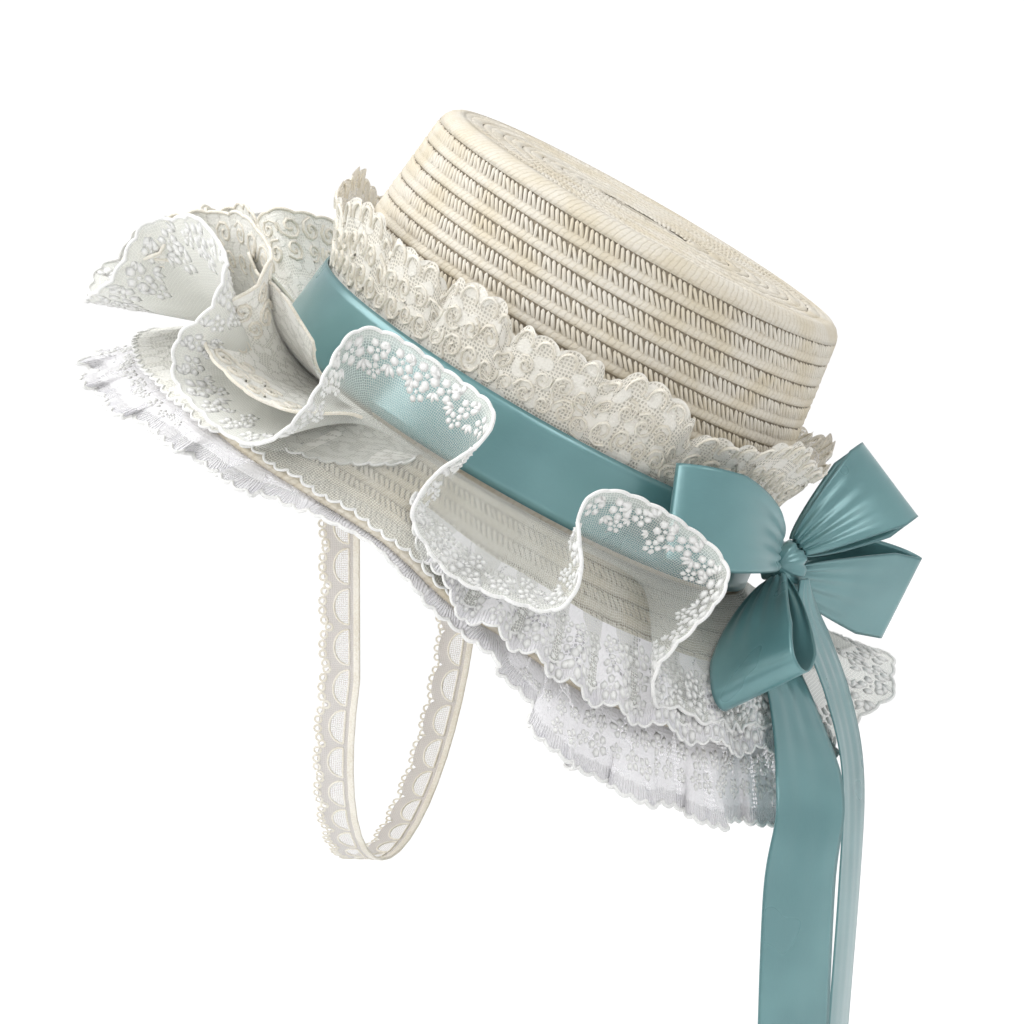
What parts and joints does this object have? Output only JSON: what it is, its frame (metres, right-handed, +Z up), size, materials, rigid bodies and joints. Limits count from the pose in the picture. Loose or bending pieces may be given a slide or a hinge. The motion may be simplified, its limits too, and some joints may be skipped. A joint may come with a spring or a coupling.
{
  "type": "poke bonnet",
  "caption": "Flat-topped plaited straw bonnet worn tipped back, with a drooping brim, lace and tulle frills, a satin band with a bow and two ends, and a lace chin strap.",
  "frame": {"origin": "middle of the head line, the oval where the crown meets the brim, where the bonnet sits on a head", "axes": "+Z up, the front of the bonnet faces -Y and the wearer's left is +X; the hat leans back 30 degrees about X"},
  "size_m": [0.2853, 0.3177, 0.375],
  "materials": {
    "straw": "matt plaited straw",
    "ivory_lace": "matt ivory lace",
    "ivory_tulle": "translucent embroidered tulle",
    "white_lace": "matt white lace",
    "teal_satin": "satin ribbon"
  },
  "bodies": {
    "root": {"straw_crown": "straw", "straw_brim": "straw", "crown_lace_frill": "ivory_lace", "chin_strap": "ivory_lace", "brim_tulle_ruffle": "ivory_tulle", "brim_edge_lace": "white_lace", "ribbon_band": "teal_satin", "bow_knot": "teal_satin", "bow_loop_near_upper": "teal_satin", "bow_loop_near_lower": "teal_satin", "bow_loop_far_upper": "teal_satin", "bow_loop_far_lower": "teal_satin", "ribbon_tail_wide": "teal_satin", "ribbon_tail_narrow": "teal_satin"}
  },
  "joints": []
}
